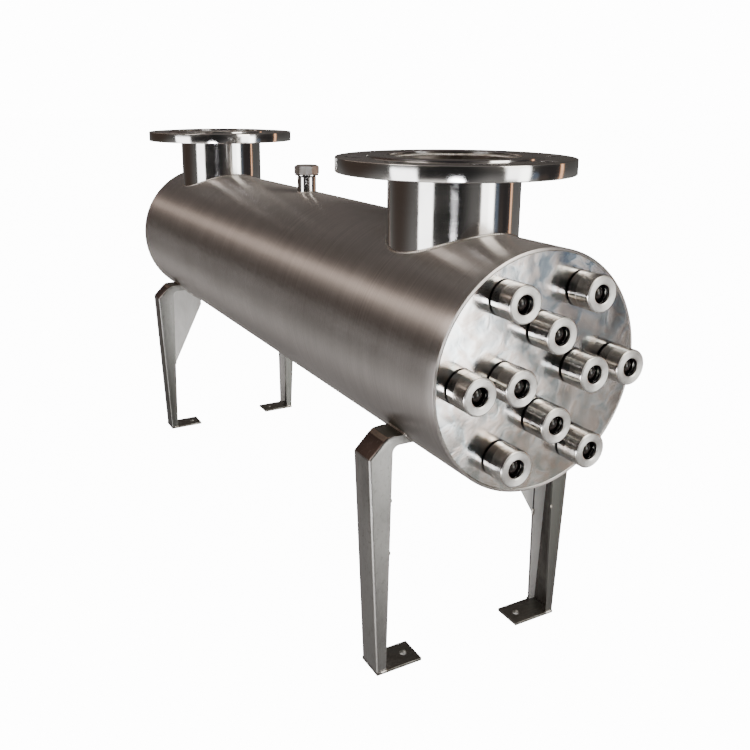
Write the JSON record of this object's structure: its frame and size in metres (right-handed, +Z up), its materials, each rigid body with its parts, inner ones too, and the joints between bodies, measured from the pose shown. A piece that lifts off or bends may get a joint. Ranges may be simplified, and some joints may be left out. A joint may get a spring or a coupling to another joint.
{
  "type": "uv clarifier",
  "caption": "Horizontal stainless steel vessel with upward flanged nozzles, lamp gland nuts on one end plate and bent sheet legs; ultraviolet lamps clear the water flowing through.",
  "frame": {"origin": "on the floor, under the centre of the bounding box", "axes": "+Z up, +Y along the vessel from the gland end plate to the closed end, +X to the right when facing the gland end"},
  "size_m": [0.3046, 1.174, 0.6185],
  "materials": {
    "brushed_steel": "fine circumferential brushing, satin",
    "plate_steel": "buffed flat plate with a mottled swirl",
    "polished_steel": "mirror polished stainless steel",
    "machined_steel": "fine turned finish, bright",
    "inner_steel": "plain mill finish",
    "leg_steel": "bent sheet, light handling marks and heat tint at the bends",
    "foot_steel": "dull dark sheet",
    "seal_rubber": "black, matte",
    "quartz_glass": "clear fused quartz",
    "lamp_glass": "clear quartz lamp tube with a dark glazed round nose and a ceramic end"
  },
  "bodies": {
    "vessel": {"shell": "brushed_steel", "front_end_plate": "plate_steel", "rear_end_plate": "plate_steel", "flow_baffle": "inner_steel", "sleeve_support": "inner_steel", "inlet_pipe": "polished_steel", "inlet_flange": "polished_steel", "outlet_pipe": "polished_steel", "outlet_flange": "polished_steel", "port_socket": "polished_steel", "leg_front_left": "leg_steel", "foot_front_left": "foot_steel", "leg_front_right": "leg_steel", "foot_front_right": "foot_steel", "leg_rear_left": "leg_steel", "foot_rear_left": "foot_steel", "leg_rear_right": "leg_steel", "foot_rear_right": "foot_steel", "quartz_sleeve_01": "quartz_glass", "quartz_sleeve_02": "quartz_glass", "quartz_sleeve_03": "quartz_glass", "quartz_sleeve_04": "quartz_glass", "quartz_sleeve_05": "quartz_glass", "quartz_sleeve_06": "quartz_glass", "quartz_sleeve_07": "quartz_glass", "quartz_sleeve_08": "quartz_glass", "quartz_sleeve_09": "quartz_glass", "quartz_sleeve_10": "quartz_glass"},
    "port_washer": {"port_washer": "seal_rubber"},
    "port_plug": {"port_plug": "machined_steel"},
    "gland_seal_01": {"gland_seal_01": "seal_rubber"},
    "gland_nut_01": {"gland_nut_01": "machined_steel"},
    "uv_lamp_01": {"uv_lamp_01": "lamp_glass"},
    "gland_seal_02": {"gland_seal_02": "seal_rubber"},
    "gland_nut_02": {"gland_nut_02": "machined_steel"},
    "uv_lamp_02": {"uv_lamp_02": "lamp_glass"},
    "gland_seal_03": {"gland_seal_03": "seal_rubber"},
    "gland_nut_03": {"gland_nut_03": "machined_steel"},
    "uv_lamp_03": {"uv_lamp_03": "lamp_glass"},
    "gland_seal_04": {"gland_seal_04": "seal_rubber"},
    "gland_nut_04": {"gland_nut_04": "machined_steel"},
    "uv_lamp_04": {"uv_lamp_04": "lamp_glass"},
    "gland_seal_05": {"gland_seal_05": "seal_rubber"},
    "gland_nut_05": {"gland_nut_05": "machined_steel"},
    "uv_lamp_05": {"uv_lamp_05": "lamp_glass"},
    "gland_seal_06": {"gland_seal_06": "seal_rubber"},
    "gland_nut_06": {"gland_nut_06": "machined_steel"},
    "uv_lamp_06": {"uv_lamp_06": "lamp_glass"},
    "gland_seal_07": {"gland_seal_07": "seal_rubber"},
    "gland_nut_07": {"gland_nut_07": "machined_steel"},
    "uv_lamp_07": {"uv_lamp_07": "lamp_glass"},
    "gland_seal_08": {"gland_seal_08": "seal_rubber"},
    "gland_nut_08": {"gland_nut_08": "machined_steel"},
    "uv_lamp_08": {"uv_lamp_08": "lamp_glass"},
    "gland_seal_09": {"gland_seal_09": "seal_rubber"},
    "gland_nut_09": {"gland_nut_09": "machined_steel"},
    "uv_lamp_09": {"uv_lamp_09": "lamp_glass"},
    "gland_seal_10": {"gland_seal_10": "seal_rubber"},
    "gland_nut_10": {"gland_nut_10": "machined_steel"},
    "uv_lamp_10": {"uv_lamp_10": "lamp_glass"}
  },
  "joints": [
    {"name": "port_washer_slide", "type": "slide", "parent": "vessel", "child": "port_washer", "axis": [0, 0, 1], "range_m": [0, 0.0109]},
    {"name": "port_plug_turn", "type": "hinge", "parent": "port_washer", "child": "port_plug", "pos_m": [0, 0.03045, 0.5606], "axis": [0, 0, 1], "range_deg": [0, 2160]},
    {"name": "gland_seal_slide_01", "type": "slide", "parent": "vessel", "child": "gland_seal_01", "axis": [0, -1, 0], "range_m": [0, 0.01201]},
    {"name": "gland_nut_turn_01", "type": "hinge", "parent": "gland_seal_01", "child": "gland_nut_01", "pos_m": [0.0492, -0.57175, 0.3975], "axis": [0, -1, 0], "range_deg": [0, 2160]},
    {"name": "uv_lamp_slide_01", "type": "slide", "parent": "vessel", "child": "uv_lamp_01", "axis": [0, -1, 0], "range_m": [0, 1.11]},
    {"name": "gland_seal_slide_02", "type": "slide", "parent": "vessel", "child": "gland_seal_02", "axis": [0, -1, 0], "range_m": [0, 0.01201]},
    {"name": "gland_nut_turn_02", "type": "hinge", "parent": "gland_seal_02", "child": "gland_nut_02", "pos_m": [0, -0.57175, 0.4467], "axis": [0, -1, 0], "range_deg": [0, 2160]},
    {"name": "uv_lamp_slide_02", "type": "slide", "parent": "vessel", "child": "uv_lamp_02", "axis": [0, -1, 0], "range_m": [0, 1.11]},
    {"name": "gland_seal_slide_03", "type": "slide", "parent": "vessel", "child": "gland_seal_03", "axis": [0, -1, 0], "range_m": [0, 0.01201]},
    {"name": "gland_nut_turn_03", "type": "hinge", "parent": "gland_seal_03", "child": "gland_nut_03", "pos_m": [-0.0492, -0.57175, 0.3975], "axis": [0, -1, 0], "range_deg": [0, 2160]},
    {"name": "uv_lamp_slide_03", "type": "slide", "parent": "vessel", "child": "uv_lamp_03", "axis": [0, -1, 0], "range_m": [0, 1.11]},
    {"name": "gland_seal_slide_04", "type": "slide", "parent": "vessel", "child": "gland_seal_04", "axis": [0, -1, 0], "range_m": [0, 0.01201]},
    {"name": "gland_nut_turn_04", "type": "hinge", "parent": "gland_seal_04", "child": "gland_nut_04", "pos_m": [0, -0.57175, 0.3483], "axis": [0, -1, 0], "range_deg": [0, 2160]},
    {"name": "uv_lamp_slide_04", "type": "slide", "parent": "vessel", "child": "uv_lamp_04", "axis": [0, -1, 0], "range_m": [0, 1.11]},
    {"name": "gland_seal_slide_05", "type": "slide", "parent": "vessel", "child": "gland_seal_05", "axis": [0, -1, 0], "range_m": [0, 0.01201]},
    {"name": "gland_nut_turn_05", "type": "hinge", "parent": "gland_seal_05", "child": "gland_nut_05", "pos_m": [0.1016, -0.57175, 0.3975], "axis": [0, -1, 0], "range_deg": [0, 2160]},
    {"name": "uv_lamp_slide_05", "type": "slide", "parent": "vessel", "child": "uv_lamp_05", "axis": [0, -1, 0], "range_m": [0, 1.11]},
    {"name": "gland_seal_slide_06", "type": "slide", "parent": "vessel", "child": "gland_seal_06", "axis": [0, -1, 0], "range_m": [0, 0.01201]},
    {"name": "gland_nut_turn_06", "type": "hinge", "parent": "gland_seal_06", "child": "gland_nut_06", "pos_m": [0.0508, -0.57175, 0.48549], "axis": [0, -1, 0], "range_deg": [0, 2160]},
    {"name": "uv_lamp_slide_06", "type": "slide", "parent": "vessel", "child": "uv_lamp_06", "axis": [0, -1, 0], "range_m": [0, 1.11]},
    {"name": "gland_seal_slide_07", "type": "slide", "parent": "vessel", "child": "gland_seal_07", "axis": [0, -1, 0], "range_m": [0, 0.01201]},
    {"name": "gland_nut_turn_07", "type": "hinge", "parent": "gland_seal_07", "child": "gland_nut_07", "pos_m": [-0.0508, -0.57175, 0.48549], "axis": [0, -1, 0], "range_deg": [0, 2160]},
    {"name": "uv_lamp_slide_07", "type": "slide", "parent": "vessel", "child": "uv_lamp_07", "axis": [0, -1, 0], "range_m": [0, 1.11]},
    {"name": "gland_seal_slide_08", "type": "slide", "parent": "vessel", "child": "gland_seal_08", "axis": [0, -1, 0], "range_m": [0, 0.01201]},
    {"name": "gland_nut_turn_08", "type": "hinge", "parent": "gland_seal_08", "child": "gland_nut_08", "pos_m": [-0.1016, -0.57175, 0.3975], "axis": [0, -1, 0], "range_deg": [0, 2160]},
    {"name": "uv_lamp_slide_08", "type": "slide", "parent": "vessel", "child": "uv_lamp_08", "axis": [0, -1, 0], "range_m": [0, 1.11]},
    {"name": "gland_seal_slide_09", "type": "slide", "parent": "vessel", "child": "gland_seal_09", "axis": [0, -1, 0], "range_m": [0, 0.01201]},
    {"name": "gland_nut_turn_09", "type": "hinge", "parent": "gland_seal_09", "child": "gland_nut_09", "pos_m": [-0.0508, -0.57175, 0.30951], "axis": [0, -1, 0], "range_deg": [0, 2160]},
    {"name": "uv_lamp_slide_09", "type": "slide", "parent": "vessel", "child": "uv_lamp_09", "axis": [0, -1, 0], "range_m": [0, 1.11]},
    {"name": "gland_seal_slide_10", "type": "slide", "parent": "vessel", "child": "gland_seal_10", "axis": [0, -1, 0], "range_m": [0, 0.01201]},
    {"name": "gland_nut_turn_10", "type": "hinge", "parent": "gland_seal_10", "child": "gland_nut_10", "pos_m": [0.0508, -0.57175, 0.30951], "axis": [0, -1, 0], "range_deg": [0, 2160]},
    {"name": "uv_lamp_slide_10", "type": "slide", "parent": "vessel", "child": "uv_lamp_10", "axis": [0, -1, 0], "range_m": [0, 1.11]}
  ],
  "couplings": [
    {"joint": "port_washer_slide", "follows": "port_plug_turn", "m_per_rad": 0.00028871},
    {"joint": "gland_seal_slide_01", "follows": "gland_nut_turn_01", "m_per_rad": 0.00031831},
    {"joint": "gland_seal_slide_02", "follows": "gland_nut_turn_02", "m_per_rad": 0.00031831},
    {"joint": "gland_seal_slide_03", "follows": "gland_nut_turn_03", "m_per_rad": 0.00031831},
    {"joint": "gland_seal_slide_04", "follows": "gland_nut_turn_04", "m_per_rad": 0.00031831},
    {"joint": "gland_seal_slide_05", "follows": "gland_nut_turn_05", "m_per_rad": 0.00031831},
    {"joint": "gland_seal_slide_06", "follows": "gland_nut_turn_06", "m_per_rad": 0.00031831},
    {"joint": "gland_seal_slide_07", "follows": "gland_nut_turn_07", "m_per_rad": 0.00031831},
    {"joint": "gland_seal_slide_08", "follows": "gland_nut_turn_08", "m_per_rad": 0.00031831},
    {"joint": "gland_seal_slide_09", "follows": "gland_nut_turn_09", "m_per_rad": 0.00031831},
    {"joint": "gland_seal_slide_10", "follows": "gland_nut_turn_10", "m_per_rad": 0.00031831}
  ]
}
